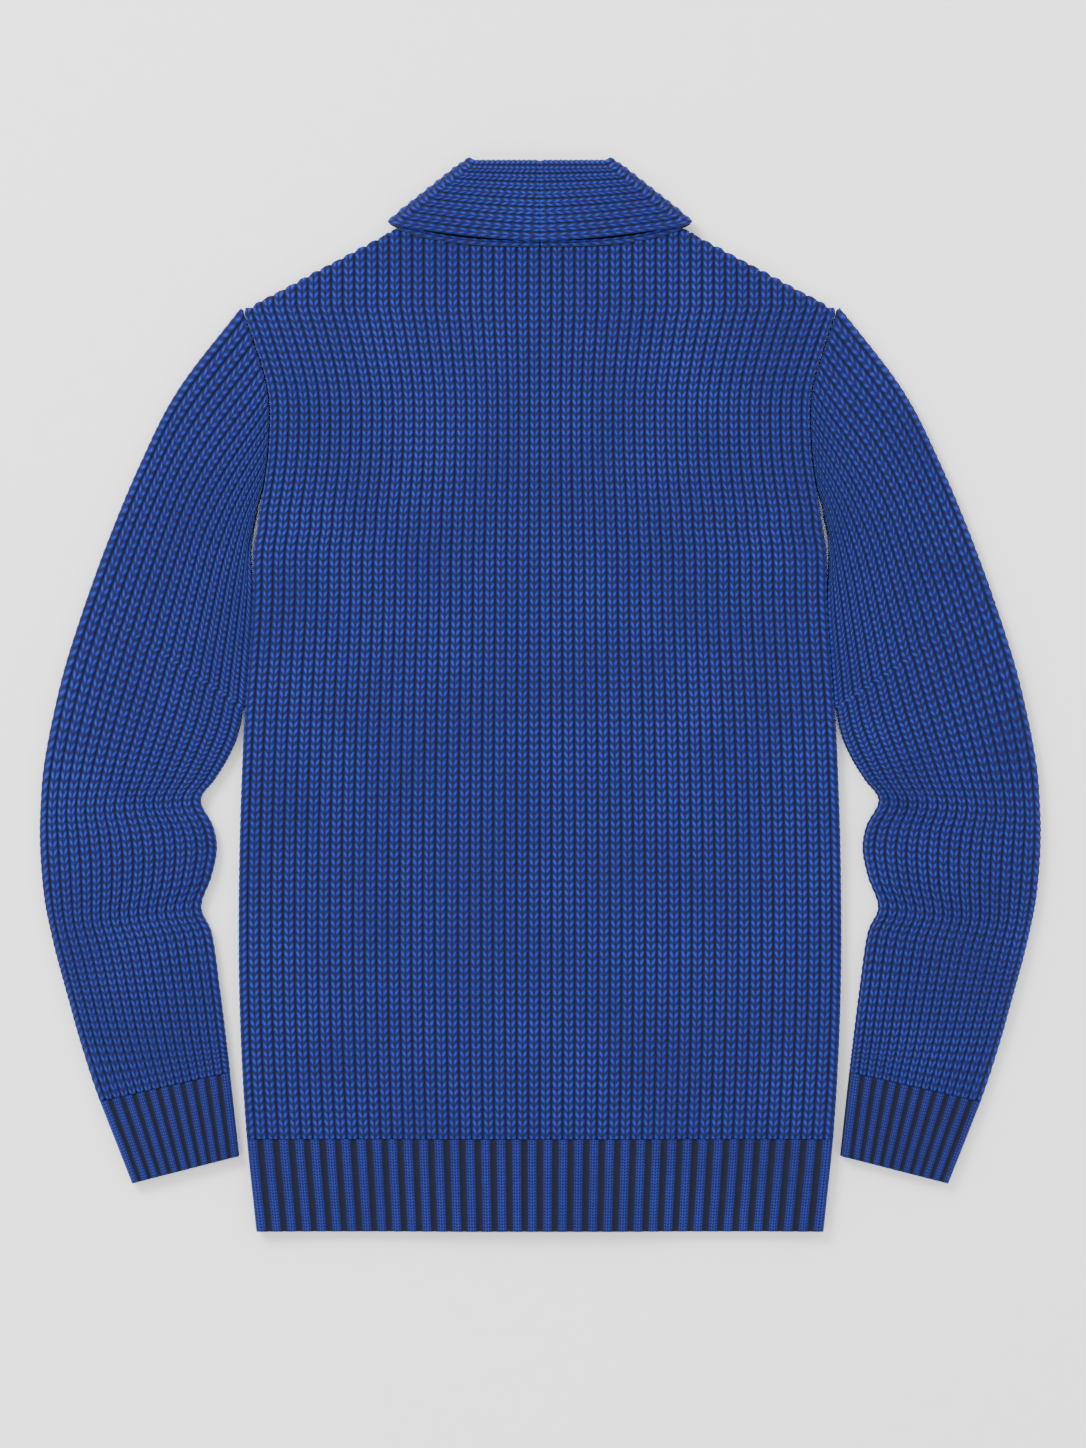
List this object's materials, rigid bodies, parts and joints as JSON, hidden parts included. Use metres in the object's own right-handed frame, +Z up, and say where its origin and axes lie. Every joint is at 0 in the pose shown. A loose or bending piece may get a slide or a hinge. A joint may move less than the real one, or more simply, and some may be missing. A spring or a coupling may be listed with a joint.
{
  "type": "shawl collar cardigan, laid flat face down",
  "caption": "Chunky ribbed royal blue shawl collar cardigan, laid flat with its back up: set-in sleeves, ribbed cuffs and hem, collar folded over the back neck.",
  "frame": {"origin": "on the surface it lies on, under the centre of its outline", "axes": "+Y from the hem to the collar, +Z up out of the back, +X to the wearer's right"},
  "size_m": [0.7208, 0.771, 0.0184],
  "materials": {
    "knit": "matt chunky wool knit",
    "button": "satin"
  },
  "bodies": {
    "root": {"back_panel": "knit", "back_hem_rib": "knit", "front_panel_left": "knit", "front_hem_rib_left": "knit", "front_band_left": "knit", "sleeve_left": "knit", "cuff_left": "knit", "collar_left": "knit", "front_panel_right": "knit", "front_hem_rib_right": "knit", "front_band_right": "knit", "sleeve_right": "knit", "cuff_right": "knit", "collar_right": "knit", "button_1": "button", "button_2": "button", "button_3": "button", "button_4": "button", "button_5": "button"}
  },
  "joints": []
}
